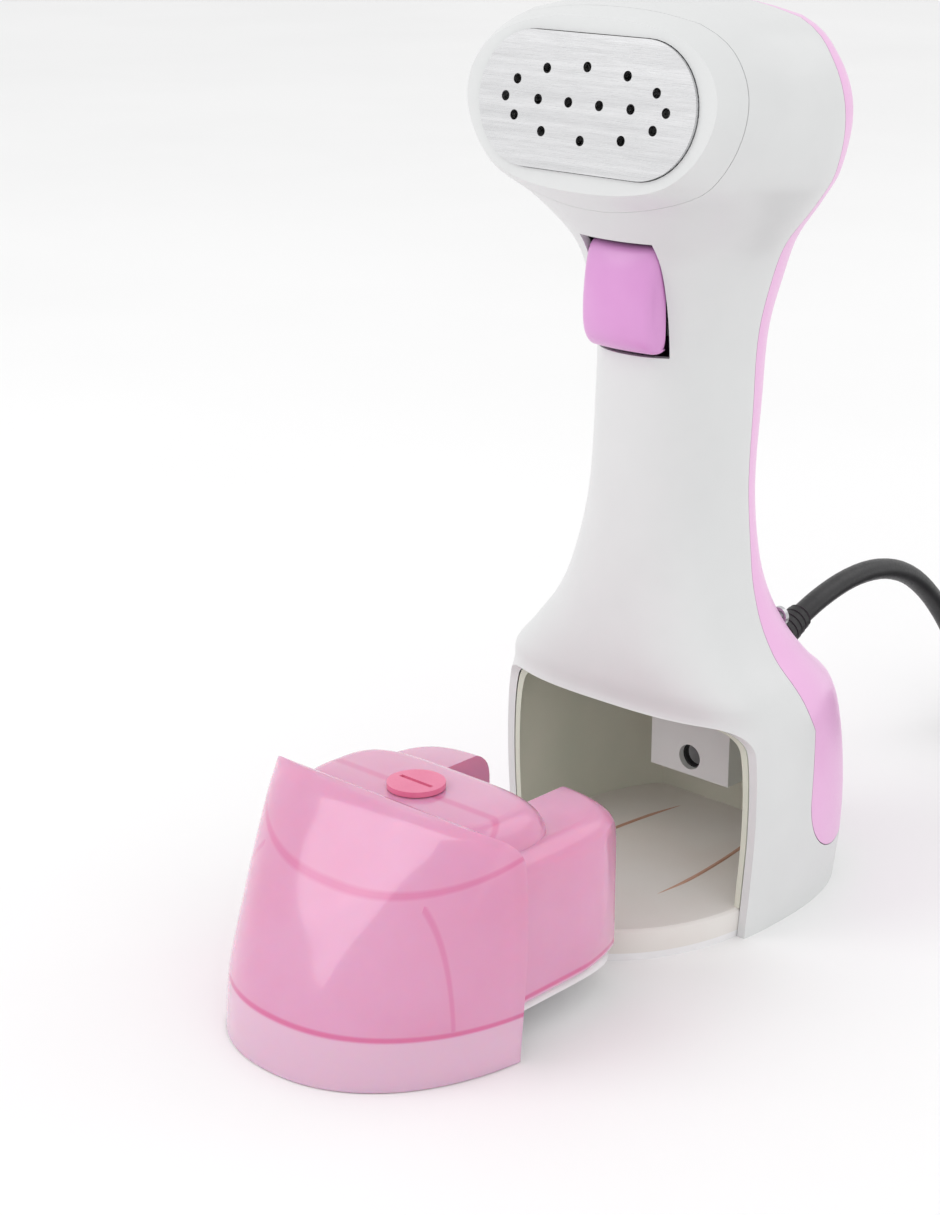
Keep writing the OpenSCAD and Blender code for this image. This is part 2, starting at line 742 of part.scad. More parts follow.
// Half ring that holds the pump against the spine
module pump_saddle(z) {
    difference() {
        union() {
            rod_z(pump_r + 2, z, z + 6, 0, pump_y);
            box([-spine_w / 2, spine_w / 2], [pump_y + 5, spine_y + 1], [z, z + 6]);
        }
        rod_z(pump_r + running_fit, z - 1, z + 7, 0, pump_y);
        box([-20, 20], [pump_y - 20, pump_y], [z - 1, z + 7]);
    }
}
module outlet_tube() {
    inlet = head_place([8, block_back + 3, 0]);
    color("lightgray") hose([
        [0, pump_y, pump_z + pump_l + 0.5], [0, pump_y, pump_z + pump_l + 14], [0, pump_y + 0.5, trigger_top - 2],
        [2, pump_y + 1, neck_z + 14], [6, pump_y - 1, inlet[2] - 9], [8, inlet[1] + 8, inlet[2] - 1.5], inlet
    ]);
}
// A point given on the tilted head, in the object's own frame
function head_place(p) = [
    p[0],
    face_y + p[1] * cos(head_tilt) + p[2] * sin(head_tilt),
    head_z - p[1] * sin(head_tilt) + p[2] * cos(head_tilt)
];

// ---- Steam head ----
module head_bezel() {
    color("whitesmoke") difference() {
        moulded() difference() {
            intersection() {
                form(0, neck_z - 20, total_h);
                before_head(bezel_t - seam);
            }
            before_head(0);
            on_head() box([-far, far], [-far, far], [-far, -head_h / 2 - 3]);
            head_core();
        }
        head_slab(plate_w + 2 * seam, plate_h + 2 * seam, -5, bezel_t + 1);
    }
}
// The hollow of the bezel behind its face
module head_core() {
    intersection() {
        form(2 * wall, neck_z - 20, total_h);
        on_head() translate([-far / 2, wall, -far / 2]) cube([far, far, far]);
    }
}
module steam_plate() {
    color("gainsboro") difference() {
        union() {
            head_slab(plate_w, plate_h, -plate_proud, plate_t - plate_proud);
        }
        on_head() for (p = steam_holes()) rod_y(steam_hole_d / 2, -10, 10, p[0], p[1]);
    }
}
// Two oval rows of steam holes
function steam_holes() = concat(
    [for (a = [0:30:330]) [(plate_w / 2 - 9) * cos(a), (plate_h / 2 - 8) * sin(a)]],
    [for (x = [-15:10:15]) [x, 0]]
);
module head_gasket() {
    color("orangered") difference() {
        head_slab(plate_w, plate_h, plate_t - plate_proud, block_y1);
        head_slab(plate_w - 7, plate_h - 7, -1, block_y1 + 1);
    }
}
module element_path(r) {
    on_head() {
        both_sides() {
            rod_x(r, 0, element_x, block_back, element_z);
            rod_x(r, 0, element_x, block_back, -element_z);
        }
        translate([element_x, block_back, 0]) rotate([90, 0, 0]) rotate([0, 0, -90])
            rotate_extrude(angle = 180, $fn = 96) translate([element_z, 0]) circle(r = r, $fn = 32);
    }
}
module heater_block() {
    color("silver") difference() {
        union() {
            head_slab(heater_w, heater_h, block_y1, block_back);
            on_head() rod_y(nipple_r, block_back - 1, block_back + 8, 8, 0);
        }
        element_path(element_r + running_fit);
        head_slab(heater_w - 12, heater_h - 12, block_y1 - 1, block_y1 + 5);
    }
}
module heating_element() {
    color("dimgray") {
        element_path(element_r);
        on_head() for (side = [-1, 1]) rod_x(1.1, -element_x - 7, -element_x, block_back, side * element_z);
    }
}
module thermostat() {
    color("tan") on_head() {
        rod_y(5.8, block_back + 0.1, block_back + 5, -9, 0);
        for (side = [-1, 1]) box([-9.5 + side * 3, -8.5 + side * 3], [block_back + 4, block_back + 10], [-2, 2]);
    }
}
module thermal_fuse() {
    color("ivory") on_head() {
        rod_x(2, 13, 20, block_back + 2.1, 0);
        rod_x(0.5, 11.8, 21.6, block_back + 2.1, 0);
    }
}

// ---- Electrical parts ----
module terminal_block() {
    color("beige") difference() {
        box([-12, 12], [bay_rear + liner_t + 0.4, bay_rear + liner_t + 7], [20, 34]);
        for (x = [-6, 6]) rod_z(2, 19, 35, x, bay_rear + liner_t + 3.6);
    }
}
module wire(x, points) {
    tube(curve(points, 4), 1, 8, [1, 0.01, 0]);
}
module wiring() {
    y = bay_rear + liner_t + 3.6;
    color("saddlebrown") for (side = [-1, 1]) wire(side, [
        [side * 6, y, 30], [side * 8, y, 38], [side * wire_x, y - 0.2, 46], [side * wire_x, y - 1, 52],
        [side * wire_x, bay_rear + 1.3, 57.5], [side * wire_x, bay_rear - 0.7, 62.2],
        [side * wire_x, bay_rear - 4.5, 65.2], [side * 13.5, 22, shoulder_z + 8],
        [side * 13.8, 12, pump_z + 5], [side * 13.5, 8, pump_z + pump_l], [side * 9.5, 6, trigger_low + 12],
        [side * 12, 6, neck_z], [-21 + side * 9, 1, head_z - 8], head_place([-21 + side * 9, block_back + 8, 3])
    ]);
}
module strain_relief() {
    color("black") on_gland() {
        cylinder(r = gland_r, h = 10, $fn = 48);
        translate([0, 0, 10]) cylinder(r1 = gland_r, r2 = cord_r + 0.6, h = gland_l - 10, $fn = 48);
        translate([0, 0, -2.2]) cylinder(r = gland_r + 1, h = 1.6, $fn = 48);
        translate([0, 0, -1]) cylinder(r = gland_r, h = 2, $fn = 48);
    }
}
module cord_clamp() {
    color("lightgray") difference() {
        box([-7.5, 7.5], [bay_rear + liner_t + 0.3, gland[1] - 1.6], [43, 51.5]);
        for (x = [-5, 5]) rod_y(1.5, 30, 60, x, 47);
    }
}

// ---- Cord ----
module cord() {
    color("black") tube(CORD, cord_r, 12, [1, 0, 0]);
}
module cord_coil() {
    color("black") translate([coil_at[0], coil_at[1], coil_z]) rotate_extrude($fn = 96)
        translate([coil_d / 2 - coil_w / 2, 0]) square([coil_w, coil_h]);
}
module coil_tie() {
    t = 1;
    w = coil_w + 2 * t;
    color("darkslategray") translate([coil_at[0], coil_at[1] + coil_d / 2, 0]) difference() {
        translate([-4, -w / 2, 0.2]) cube([8, w, coil_h + coil_z - 0.2 + t]);
        translate([-5, -coil_w / 2 - 0.4, coil_z - 0.4]) cube([10, coil_w + 0.8, coil_h + 0.8]);
    }
}
module cord_tail() {
    color("black") tube(TAIL, cord_r, 12, [1, 0, 0]);
}
module plug_body() {
    color("black") {
        rod_y(plug_r, tail_y - plug_l, tail_y - plug_neck, tail_x, tail_z);
        translate([tail_x, tail_y, tail_z]) rotate([90, 0, 0])
            cylinder(r1 = cord_r + 0.8, r2 = plug_r - 2, h = plug_neck, $fn = 48);
    }
}
module plug_pins() {
    y0 = tail_y - plug_l;
    color("silver") for (side = [-1, 1]) rod_y(plug_pin_r, y0 - plug_pin_l, y0, tail_x + side * plug_pin_gap / 2, tail_z);
}

front_housing();
rear_cover();
bay_liner();
floor_tray();
base_cover();
base_screws();
cover_screws();
intake_block();
intake_seal();
intake_tube();
tank_shell();
tank_base();
tank_nozzle();
nozzle_ring();
valve_stem();
valve_spring();
filler_plug();
plug_seal();
trigger();
trigger_pin();
trigger_spring();
micro_switch();
pump();
inner_frame();
outlet_tube();
head_bezel();
steam_plate();
head_gasket();
heater_block();
heating_element();
thermostat();
thermal_fuse();
terminal_block();
wiring();
strain_relief();
cord_clamp();
cord();
cord_coil();
coil_tie();
cord_tail();
plug_body();
plug_pins();
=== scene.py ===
"""Looks of a handheld garment steamer with its water tank drawn out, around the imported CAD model."""

import math

import bmesh
import bpy
from mathutils import Matrix, Vector


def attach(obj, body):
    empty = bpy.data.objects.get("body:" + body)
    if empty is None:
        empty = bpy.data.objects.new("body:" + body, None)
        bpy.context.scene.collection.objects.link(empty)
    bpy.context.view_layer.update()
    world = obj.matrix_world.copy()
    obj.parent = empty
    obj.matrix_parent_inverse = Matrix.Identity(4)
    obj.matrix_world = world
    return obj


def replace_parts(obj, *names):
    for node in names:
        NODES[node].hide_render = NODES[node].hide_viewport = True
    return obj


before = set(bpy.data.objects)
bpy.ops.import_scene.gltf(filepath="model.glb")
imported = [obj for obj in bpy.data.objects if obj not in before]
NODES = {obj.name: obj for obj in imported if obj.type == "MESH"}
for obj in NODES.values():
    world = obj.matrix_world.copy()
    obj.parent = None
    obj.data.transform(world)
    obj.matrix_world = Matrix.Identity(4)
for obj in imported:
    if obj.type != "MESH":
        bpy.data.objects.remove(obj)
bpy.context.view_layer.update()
MM = 0.001

# ---------------------------------------------------------------- camera
CAMERA_AZIMUTH = math.radians(43)
CAMERA_ELEVATION = math.radians(19)
CAMERA_BACK = 0.6916
CAMERA_LEFT = 0.0533
CAMERA_UP = 0.0777
CAMERA_LENS = 71.1


def add_camera():
    a, e = CAMERA_AZIMUTH, CAMERA_ELEVATION
    right = Vector((math.cos(a), math.sin(a), 0))
    back = Vector((math.sin(a) * math.cos(e), -math.cos(a) * math.cos(e), math.sin(e)))
    up = back.cross(right)
    camera = bpy.data.cameras.new("camera")
    camera.lens = CAMERA_LENS
    camera.sensor_width = 36
    camera.clip_start = 0.01
    holder = bpy.data.objects.new("camera", camera)
    turn = Matrix((right, up, back)).transposed().to_4x4()
    place = back * CAMERA_BACK - right * CAMERA_LEFT + up * CAMERA_UP
    holder.matrix_world = Matrix.Translation(place) @ turn
    bpy.context.scene.collection.objects.link(holder)
    bpy.context.scene.camera = holder


add_camera()


# ---------------------------------------------------------------- materials
def new_material(name):
    m = bpy.data.materials.new(name)
    m.use_nodes = True
    return m, m.node_tree, m.node_tree.nodes["Principled BSDF"]


def noise(tree, scale, detail=2.0, stretch=None):
    place = tree.nodes.new("ShaderNodeTexCoord")
    texture = tree.nodes.new("ShaderNodeTexNoise")
    texture.inputs["Scale"].default_value = scale
    texture.inputs["Detail"].default_value = detail
    if stretch:
        mapping = tree.nodes.new("ShaderNodeMapping")
        mapping.inputs["Scale"].default_value = stretch
        tree.links.new(place.outputs["Object"], mapping.inputs["Vector"])
        tree.links.new(mapping.outputs["Vector"], texture.inputs["Vector"])
    else:
        tree.links.new(place.outputs["Object"], texture.inputs["Vector"])
    return texture.outputs["Fac"]


# most of a noise's values lie between these two
NOISE_LOW, NOISE_HIGH = 0.35, 0.65


def spread(tree, value, low, high, start=NOISE_LOW, end=NOISE_HIGH):
    node = tree.nodes.new("ShaderNodeMapRange")
    node.inputs["From Min"].default_value = start
    node.inputs["From Max"].default_value = end
    node.inputs["To Min"].default_value = low
    node.inputs["To Max"].default_value = high
    tree.links.new(value, node.inputs["Value"])
    return node.outputs["Result"]


def two_tones(tree, value, first, second):
    ramp = tree.nodes.new("ShaderNodeValToRGB")
    ramp.color_ramp.elements[0].position = NOISE_LOW
    ramp.color_ramp.elements[1].position = NOISE_HIGH
    ramp.color_ramp.elements[0].color = (*first, 1)
    ramp.color_ramp.elements[1].color = (*second, 1)
    tree.links.new(value, ramp.inputs["Fac"])
    return ramp.outputs["Color"]


def bump(tree, shader, height, strength, distance):
    node = tree.nodes.new("ShaderNodeBump")
    node.inputs["Strength"].default_value = strength
    node.inputs["Distance"].default_value = distance
    tree.links.new(height, node.inputs["Height"])
    tree.links.new(node.outputs["Normal"], shader.inputs["Normal"])


def surface(name, tones, rough, patch=60, grain=1400, relief=0.15, depth=0.00004, stretch=None, **sockets):
    """A solid finish with soft patches of tone and roughness and a fine relief."""
    m, tree, shader = new_material(name)
    patches = noise(tree, patch, 3.0, stretch)
    tree.links.new(two_tones(tree, patches, *tones), shader.inputs["Base Color"])
    fine = noise(tree, grain, 3.0, stretch)
    tree.links.new(spread(tree, fine, *rough), shader.inputs["Roughness"])
    bump(tree, shader, fine, relief, depth)
    for socket, value in sockets.items():
        shader.inputs[socket.replace("_", " ")].default_value = value
    return m


WHITE = ((0.68, 0.688, 0.688), (0.695, 0.703, 0.703))
white_shell = surface("white_shell", WHITE, (0.30, 0.42), Coat_Weight=0.12, Coat_Roughness=0.2)
white_under = surface("white_under", ((0.80, 0.79, 0.80), (0.84, 0.83, 0.84)), (0.3, 0.4))
ORCHID = ((0.815, 0.44, 0.725), (0.83, 0.46, 0.74))
orchid = surface("orchid_cover", ORCHID, (0.28, 0.4), Coat_Weight=0.2, Coat_Roughness=0.2)
DEEP_ORCHID = ((0.66, 0.29, 0.61), (0.68, 0.31, 0.63))
orchid_trigger = surface("orchid_trigger", DEEP_ORCHID, (0.28, 0.38), Coat_Weight=0.2, Coat_Roughness=0.2)
ivory = surface("ivory_liner", ((0.60, 0.63, 0.53), (0.66, 0.67, 0.57)), (0.45, 0.6), patch=35)
floor_cream = surface("floor_cream", ((0.74, 0.69, 0.65), (0.77, 0.74, 0.71)), (0.4, 0.5), patch=30)

# where the tank's panels meet and painted shade lines run along them, in metres, with the tank drawn out
FOOT_FOLD_Z = 0.0138
FOOT_BAND_LOW, FOOT_BAND_HIGH = 0.0128, 0.0134
CREASE_AT, CREASE_RISE = 0.1085, 0.5
PANEL_Y, PANEL_TOP_Z, PANEL_SIDE_X = -0.1245, 0.0445, 0.028
FOLD_SHADE_HALF_W, PANEL_SHADE_HALF_W = 0.0006, 0.0005


def make_tank_finish():
    """Glossy milky pink plastic with painted shade: darker lines along the folds where its panels meet."""
    m, tree, shader = new_material("pink_tank")
    link = tree.links.new
    place = tree.nodes.new("ShaderNodeTexCoord")
    split = tree.nodes.new("ShaderNodeSeparateXYZ")
    link(place.outputs["Object"], split.inputs["Vector"])

    def math_node(operation, first, second):
        node = tree.nodes.new("ShaderNodeMath")
        node.operation = operation
        for socket, value in zip(node.inputs, (first, second)):
            if isinstance(value, (int, float)):
                socket.default_value = value
            else:
                link(value, socket)
        return node.outputs["Value"]

    def line(value, at, half):
        """1 where the value is within half a painted shade line's width of its place, soft at its edges."""
        away = math_node("ABSOLUTE", math_node("SUBTRACT", value, at), 0)
        return spread(tree, away, 1.0, 0.0, half * 0.5, half * 1.5)

    x, y, z = (split.outputs[axis] for axis in "XYZ")
    # painted shade: darker lines along the foot fold, the shoulder crease and the side panels' rear edges,
    # standing in for the shade of these bends
    foot_fold_shade = line(z, FOOT_FOLD_Z, FOLD_SHADE_HALF_W)
    slanted = math_node("SUBTRACT", z, math_node("MULTIPLY", y, CREASE_RISE))
    crease_shade = line(slanted, CREASE_AT, FOLD_SHADE_HALF_W)
    on_side = math_node("GREATER_THAN", math_node("ABSOLUTE", x, 0), PANEL_SIDE_X)
    panel_edge_shade = math_node("MULTIPLY", line(y, PANEL_Y, PANEL_SHADE_HALF_W), math_node("LESS_THAN", z, PANEL_TOP_Z))
    panel_edge_shade = math_node("MULTIPLY", panel_edge_shade, on_side)
    panel_edge_shade = math_node("MULTIPLY", panel_edge_shade, math_node("GREATER_THAN", z, FOOT_FOLD_Z))
    faint_fold_shade = math_node("MAXIMUM", math_node("MULTIPLY", crease_shade, 0.6), math_node("MULTIPLY", panel_edge_shade, 0.5))
    painted_fold_shade = math_node("MAXIMUM", foot_fold_shade, faint_fold_shade)
    patches = noise(tree, 26, 4.0)
    base = two_tones(tree, patches, (0.97, 0.385, 0.62), (1.0, 0.45, 0.69))
    band = spread(tree, z, 1.0, 0.0, FOOT_BAND_LOW, FOOT_BAND_HIGH)
    lighter = tree.nodes.new("ShaderNodeMixRGB")
    link(band, lighter.inputs["Fac"])
    link(base, lighter.inputs["Color1"])
    lighter.inputs["Color2"].default_value = (1.0, 0.60, 0.78, 1)
    # painted shade: a darker pink mixed in where the fold lines lie
    fold_shade_mix = tree.nodes.new("ShaderNodeMixRGB")
    link(painted_fold_shade, fold_shade_mix.inputs["Fac"])
    link(lighter.outputs["Color"], fold_shade_mix.inputs["Color1"])
    fold_shade_mix.inputs["Color2"].default_value = (0.90, 0.20, 0.44, 1)
    link(fold_shade_mix.outputs["Color"], shader.inputs["Base Color"])
    fine = noise(tree, 500, 3.0)
    link(spread(tree, fine, 0.13, 0.20), shader.inputs["Roughness"])
    bump(tree, shader, fine, 0.05, 0.00004)
    for socket, value in (
        ("Transmission Weight", 0.35), ("IOR", 1.46), ("Coat Weight", 0.6), ("Coat Roughness", 0.06),
        ("Subsurface Weight", 0.35), ("Subsurface Scale", 0.006),
    ):
        shader.inputs[socket].default_value = value
    return m


pink_tank = make_tank_finish()
rose_plug = surface("rose_plug", ((0.72, 0.16, 0.30), (0.80, 0.22, 0.36)), (0.35, 0.5))
dark_rubber = surface("dark_rubber", ((0.02, 0.02, 0.022), (0.03, 0.03, 0.032)), (0.5, 0.7), relief=0.3)
cord_rubber = surface(
    "cord_rubber", ((0.012, 0.012, 0.013), (0.02, 0.02, 0.021)), (0.34, 0.5), patch=120, relief=0.2
)
black_plastic = surface(
    "black_plastic", ((0.015, 0.015, 0.015), (0.024, 0.024, 0.024)), (0.4, 0.55), relief=0.3
)
tie_plastic = surface("tie_plastic", ((0.03, 0.035, 0.035), (0.045, 0.05, 0.05)), (0.35, 0.5))
clear_hose = surface(
    "clear_hose", ((0.72, 0.73, 0.70), (0.80, 0.80, 0.78)), (0.25, 0.35), Transmission_Weight=0.4, IOR=1.42
)
pump_plastic = surface("pump_body", ((0.16, 0.24, 0.36), (0.20, 0.29, 0.42)), (0.4, 0.5))
grey_frame = surface("grey_frame", ((0.42, 0.42, 0.43), (0.47, 0.47, 0.48)), (0.45, 0.6))
red_silicone = surface("red_silicone", ((0.50, 0.07, 0.04), (0.58, 0.10, 0.05)), (0.5, 0.65))
terminal = surface("terminal_plastic", ((0.72, 0.66, 0.50), (0.78, 0.72, 0.56)), (0.4, 0.55))
wire_sheath = surface("wire_sheath", ((0.16, 0.06, 0.03), (0.21, 0.09, 0.04)), (0.35, 0.5))
fuse_sleeve = surface(
    "fuse_sleeve", ((0.66, 0.60, 0.46), (0.80, 0.76, 0.64)), (0.7, 0.9), patch=2500, relief=0.6
)


def metal(name, tones, rough, stretch=(1, 1, 1), grain=900, relief=0.2):
    return surface(
        name, tones, rough, patch=200, grain=grain, relief=relief, depth=0.00003, stretch=stretch,
        Metallic=1.0,
    )


STEEL = ((0.52, 0.52, 0.54), (0.62, 0.62, 0.63))
steel = metal("steel", STEEL, (0.22, 0.38), (1, 1, 6))
BRUSHED = ((0.66, 0.66, 0.67), (0.74, 0.74, 0.75))
plate_metal = metal("plate_metal", BRUSHED, (0.22, 0.36), (0.06, 1, 3), 2600, 0.3)
CAST = ((0.42, 0.42, 0.42), (0.52, 0.52, 0.51))
cast_alloy = metal("cast_alloy", CAST, (0.45, 0.7), grain=1800, relief=0.6)
element_steel = metal("element_steel", ((0.22, 0.19, 0.17), (0.30, 0.25, 0.24)), (0.3, 0.5))
thermostat_metal = metal("thermostat_metal", ((0.60, 0.54, 0.42), (0.68, 0.62, 0.50)), (0.25, 0.4))
pin_brass = metal("brass_pins", ((0.68, 0.62, 0.46), (0.76, 0.70, 0.54)), (0.18, 0.3), (4, 0.4, 4))

# nodes whose shape stays the CAD's
CAD_FINISHES = {
    "base_cover": white_under, "base_screws": steel, "cover_screws": steel, "intake_block": white_shell,
    "intake_seal": dark_rubber, "intake_tube": clear_hose, "tank_nozzle": white_under,
    "nozzle_ring": dark_rubber, "valve_stem": steel, "valve_spring": steel, "filler_plug": rose_plug,
    "plug_seal": dark_rubber, "trigger_pin": steel, "trigger_spring": steel, "micro_switch": black_plastic,
    "pump": pump_plastic, "inner_frame": grey_frame, "outlet_tube": clear_hose, "steam_plate": plate_metal,
    "head_gasket": red_silicone, "heater_block": cast_alloy, "heating_element": element_steel,
    "thermostat": thermostat_metal, "thermal_fuse": fuse_sleeve, "terminal_block": terminal,
    "wiring": wire_sheath, "cord_clamp": grey_frame, "plug_pins": pin_brass,
}
# widths in millimetres of the soft edges that some of them get
SOFT_EDGES = {
    "base_cover": 0.3, "intake_block": 0.7, "filler_plug": 0.35, "steam_plate": 0.4, "plug_pins": 0.8,
    "heater_block": 0.6, "inner_frame": 0.4, "pump": 0.8, "micro_switch": 0.4, "terminal_block": 0.4,
}


def finish_cad_nodes():
    for name, finish in CAD_FINISHES.items():
        node = NODES[name]
        node.data.materials.clear()
        node.data.materials.append(finish)
        if name in SOFT_EDGES:
            edge = node.modifiers.new("soft_edges", "BEVEL")
            edge.width = SOFT_EDGES[name] * MM
            edge.segments = 2
            edge.limit_method = "ANGLE"
            edge.angle_limit = math.radians(40)
            edge.harden_normals = False


finish_cad_nodes()


# ---------------------------------------------------------------- mesh helpers, in millimetres
PRISM_HALF, ROD_SIDES = 100, 64


def add_mesh(name, points, faces, material=None):
    mesh = bpy.data.meshes.new(name)
    mesh.from_pydata([[c * MM for c in p] for p in points], [], faces)
    mesh.validate()
    piece = bpy.data.objects.new(name, mesh)
    bpy.context.scene.collection.objects.link(piece)
    if material:
        mesh.materials.append(material)
    return piece


def smooth(piece, angle=32):
    piece.data.shade_smooth()
    piece.data.set_sharp_from_angle(angle=math.radians(angle))
    return piece


def stack(name, rings):
    """A closed solid through rings that all have the same number of points."""
    n = len(rings[0])
    points = [p for r in rings for p in r]
    faces = [list(range(n))[::-1]]
    for j in range(len(rings) - 1):
        for i in range(n):
            k = (i + 1) % n
            faces.append([j * n + i, j * n + k, (j + 1) * n + k, (j + 1) * n + i])
    last = (len(rings) - 1) * n
    faces.append([last + i for i in range(n)])
    return add_mesh(name, points, faces)


def applied(piece):
    """Turns the piece's modifiers into its mesh."""
    graph = bpy.context.evaluated_depsgraph_get()
    mesh = bpy.data.meshes.new_from_object(piece.evaluated_get(graph))
    piece.modifiers.clear()
    old = piece.data
    piece.data = mesh
    bpy.data.meshes.remove(old)
    return piece


def combine(piece, other, how):
    """Joins, cuts or crosses the piece with another closed piece, which is used up."""
    step = piece.modifiers.new("combine", "BOOLEAN")
    step.operation = how
    step.solver = "MANIFOLD"
    step.object = other
    applied(piece)
    bpy.data.objects.remove(other)
    return piece


def cut(piece, *others):
    for other in others:
        combine(piece, other, "DIFFERENCE")
    return piece


def join(piece, *others):
    for other in others:
        combine(piece, other, "UNION")
    return piece


def common(piece, *others):
    for other in others:
        combine(piece, other, "INTERSECT")
    return piece


def prism(name, outline):
    """A side outline in Y and Z, drawn along X."""
    n = len(outline)
    points = [(-PRISM_HALF, *p) for p in outline] + [(PRISM_HALF, *p) for p in outline]
    faces = [list(range(n))[::-1], list(range(n, 2 * n))]
    faces += [[i, (i + 1) % n, n + (i + 1) % n, n + i] for i in range(n)]
    return tidy_normals(add_mesh(name, points, faces))


def painted(piece, name, material):
    """Gives a combined piece its name and one finish in place of the slots of its parts."""
    piece.name = name
    piece.data.materials.clear()
    piece.data.materials.append(material)
    piece.data.polygons.foreach_set("material_index", [0] * len(piece.data.polygons))
    return piece


def tidy_normals(piece):
    bm = bmesh.new()
    bm.from_mesh(piece.data)
    bmesh.ops.recalc_face_normals(bm, faces=bm.faces)
    bm.to_mesh(piece.data)
    bm.free()
    return piece


def block(name, x, y, z):
    points = [(x[i], y[j], z[k]) for i in (0, 1) for j in (0, 1) for k in (0, 1)]
    faces = [[0, 1, 3, 2], [4, 6, 7, 5], [0, 4, 5, 1], [2, 3, 7, 6], [0, 2, 6, 4], [1, 5, 7, 3]]
    return tidy_normals(add_mesh(name, points, faces))


def rod(name, start, end, radius):
    """A cylinder between two points."""
    a, b = Vector(start), Vector(end)
    turn = (b - a).to_track_quat("Z", "Y")
    circle = [turn @ Vector((radius * math.cos(t), radius * math.sin(t), 0)) for t in angles(ROD_SIDES)]
    return tidy_normals(stack(name, [[tuple(centre + p) for p in circle] for centre in (a, b)]))


def angles(n):
    return [2 * math.pi * i / n for i in range(n)]


# ---------------------------------------------------------------- the outer form, as in the design
HALF_W, HAND_W, HALF_HEAD = 45.5, 20.5, 48.5
MOUTH_H, FLOOR_H, WALL, SEAM = 61.5, 8.5, 2.4, 0.2
SHOULDER_Z = MOUTH_H + 6.5
HANDLE_Z = MOUTH_H + 36
HANDLE_TOP = HANDLE_Z + 60
NECK_Z = HANDLE_TOP + 28
TOTAL_H = NECK_Z + 62
CROWN_Z = NECK_Z + 36
FRONT, REAR = 60, 56
SIDES, STEP = 144, 2.0
# height, half width, middle, front, rear, front squareness, rear squareness
OUTER = [
    (0, HALF_W - 2.5, -2, -FRONT, REAR - 1.5, 2.2, 2.6),
    (14, HALF_W - 1.3, -2, 2.8 - FRONT, REAR, 2.2, 2.6),
    (MOUTH_H / 2, HALF_W, -2, 12.5 - FRONT, REAR - 0.5, 2.3, 2.5),
    (MOUTH_H - 11, HALF_W + 0.5, -1, 26.5 - FRONT, REAR - 3.5, 2.6, 2.3),
    (MOUTH_H, HALF_W, 0, 34.8 - FRONT, REAR - 9, 2.8, 2.2),
    (SHOULDER_Z, HALF_W - 2.6, 0, -25.5, REAR - 17.5, 3.2, 2.2),
    (SHOULDER_Z + 8, HALF_W - 9.5, 0, -25.5, 32.5, 3, 2.2),
    (SHOULDER_Z + 18, HAND_W + 8.6, 0.5, -24.7, 28.4, 2.5, 2.2),
    (HANDLE_Z, HAND_W + 4, 1.5, -23.4, 26.2, 2.3, 2.2),
    (HANDLE_Z + 19, HAND_W + 0.3, 3, -21, 26.4, 2.2, 2.2),
    (HANDLE_TOP - 16, HAND_W, 5, -19.2, 28.3, 2.2, 2.2),
    (HANDLE_TOP + 3, HAND_W + 0.4, 6, -19, 30, 2.2, 2.2),
    (HANDLE_TOP + 18, HAND_W + 3.8, 6, -20.5, 33.5, 2.2, 2.2),
    (NECK_Z, HAND_W + 8, 5, -24, 34.8, 2.2, 2.2),
    (NECK_Z + 11, HALF_HEAD - 10.5, 3, -33, 34.5, 2.3, 2.2),
    (NECK_Z + 20, HALF_HEAD - 4, 2, -43, 34, 2.8, 2.2),
    (NECK_Z + 36, HALF_HEAD, 1, -48, 32, 3, 2.2),
    (NECK_Z + 49, HALF_HEAD - 3.5, 0, -44, 26.5, 3, 2.2),
    (TOTAL_H - 4, HALF_HEAD - 13, 0, -34, 19, 2.6, 2.2),
    (TOTAL_H, HALF_HEAD - 30, -2, -20, 8, 2.3, 2.2),
]


def slope(i):
    """How fast each value of the outer form changes with height at one of its sections."""
    a, b = OUTER[max(i - 1, 0)], OUTER[min(i + 1, len(OUTER) - 1)]
    return [(q - p) / (b[0] - a[0]) for p, q in zip(a, b)]


def section_at(z):
    """The section of the outer form at a height, on smooth curves through the listed ones."""
    i = 0
    while i < len(OUTER) - 2 and z > OUTER[i + 1][0]:
        i += 1
    a, b, ma, mb = OUTER[i], OUTER[i + 1], slope(i), slope(i + 1)
    h = b[0] - a[0]
    t = (z - a[0]) / h
    u = 1 - t
    return [
        p * u * u * (1 + 2 * t) + m * h * t * u * u + q * t * t * (3 - 2 * t) - n * h * t * t * u
        for p, q, m, n in zip(a, b, ma, mb)
    ]


def power(v, n):
    """A cosine or sine bent so that a circle becomes squarer."""
    return math.copysign(abs(v) ** (2 / n), v)


def ring(section, inset, z):
    """The points round a section, drawn in by the inset."""
    _, half_w, middle, front, rear, front_square, rear_square = section
    points = []
    for t in angles(SIDES):
        s = math.sin(t)
        n = front_square if s < 0 else rear_square
        reach = middle - front if s < 0 else rear - middle
        points.append(((half_w - inset) * power(math.cos(t), n), middle + (reach - inset) * power(s, n), z))
    return points


def form(inset, z0=0.0, z1=TOTAL_H):
    """The outer form between two heights, drawn in by the inset; its crown comes down by as much."""
    count = max(1, math.ceil((z1 - z0) / STEP))
    rings = []
    for j in range(count + 1):
        z = z0 + (z1 - z0) * j / count
        followed = max(0, z + inset * max(0, (z - CROWN_Z) / (TOTAL_H - inset - CROWN_Z)))
        rings.append(ring(section_at(followed), inset, z))
    return stack("form", rings)


# ---------------------------------------------------------------- profiles
FAR = 200
MOUTH_EDGE, MOUTH_R = -14, 8
HEAD_TILT = math.radians(8)
FACE_Y, HEAD_Z, BEZEL_T = -36, NECK_Z + 37.5, 7


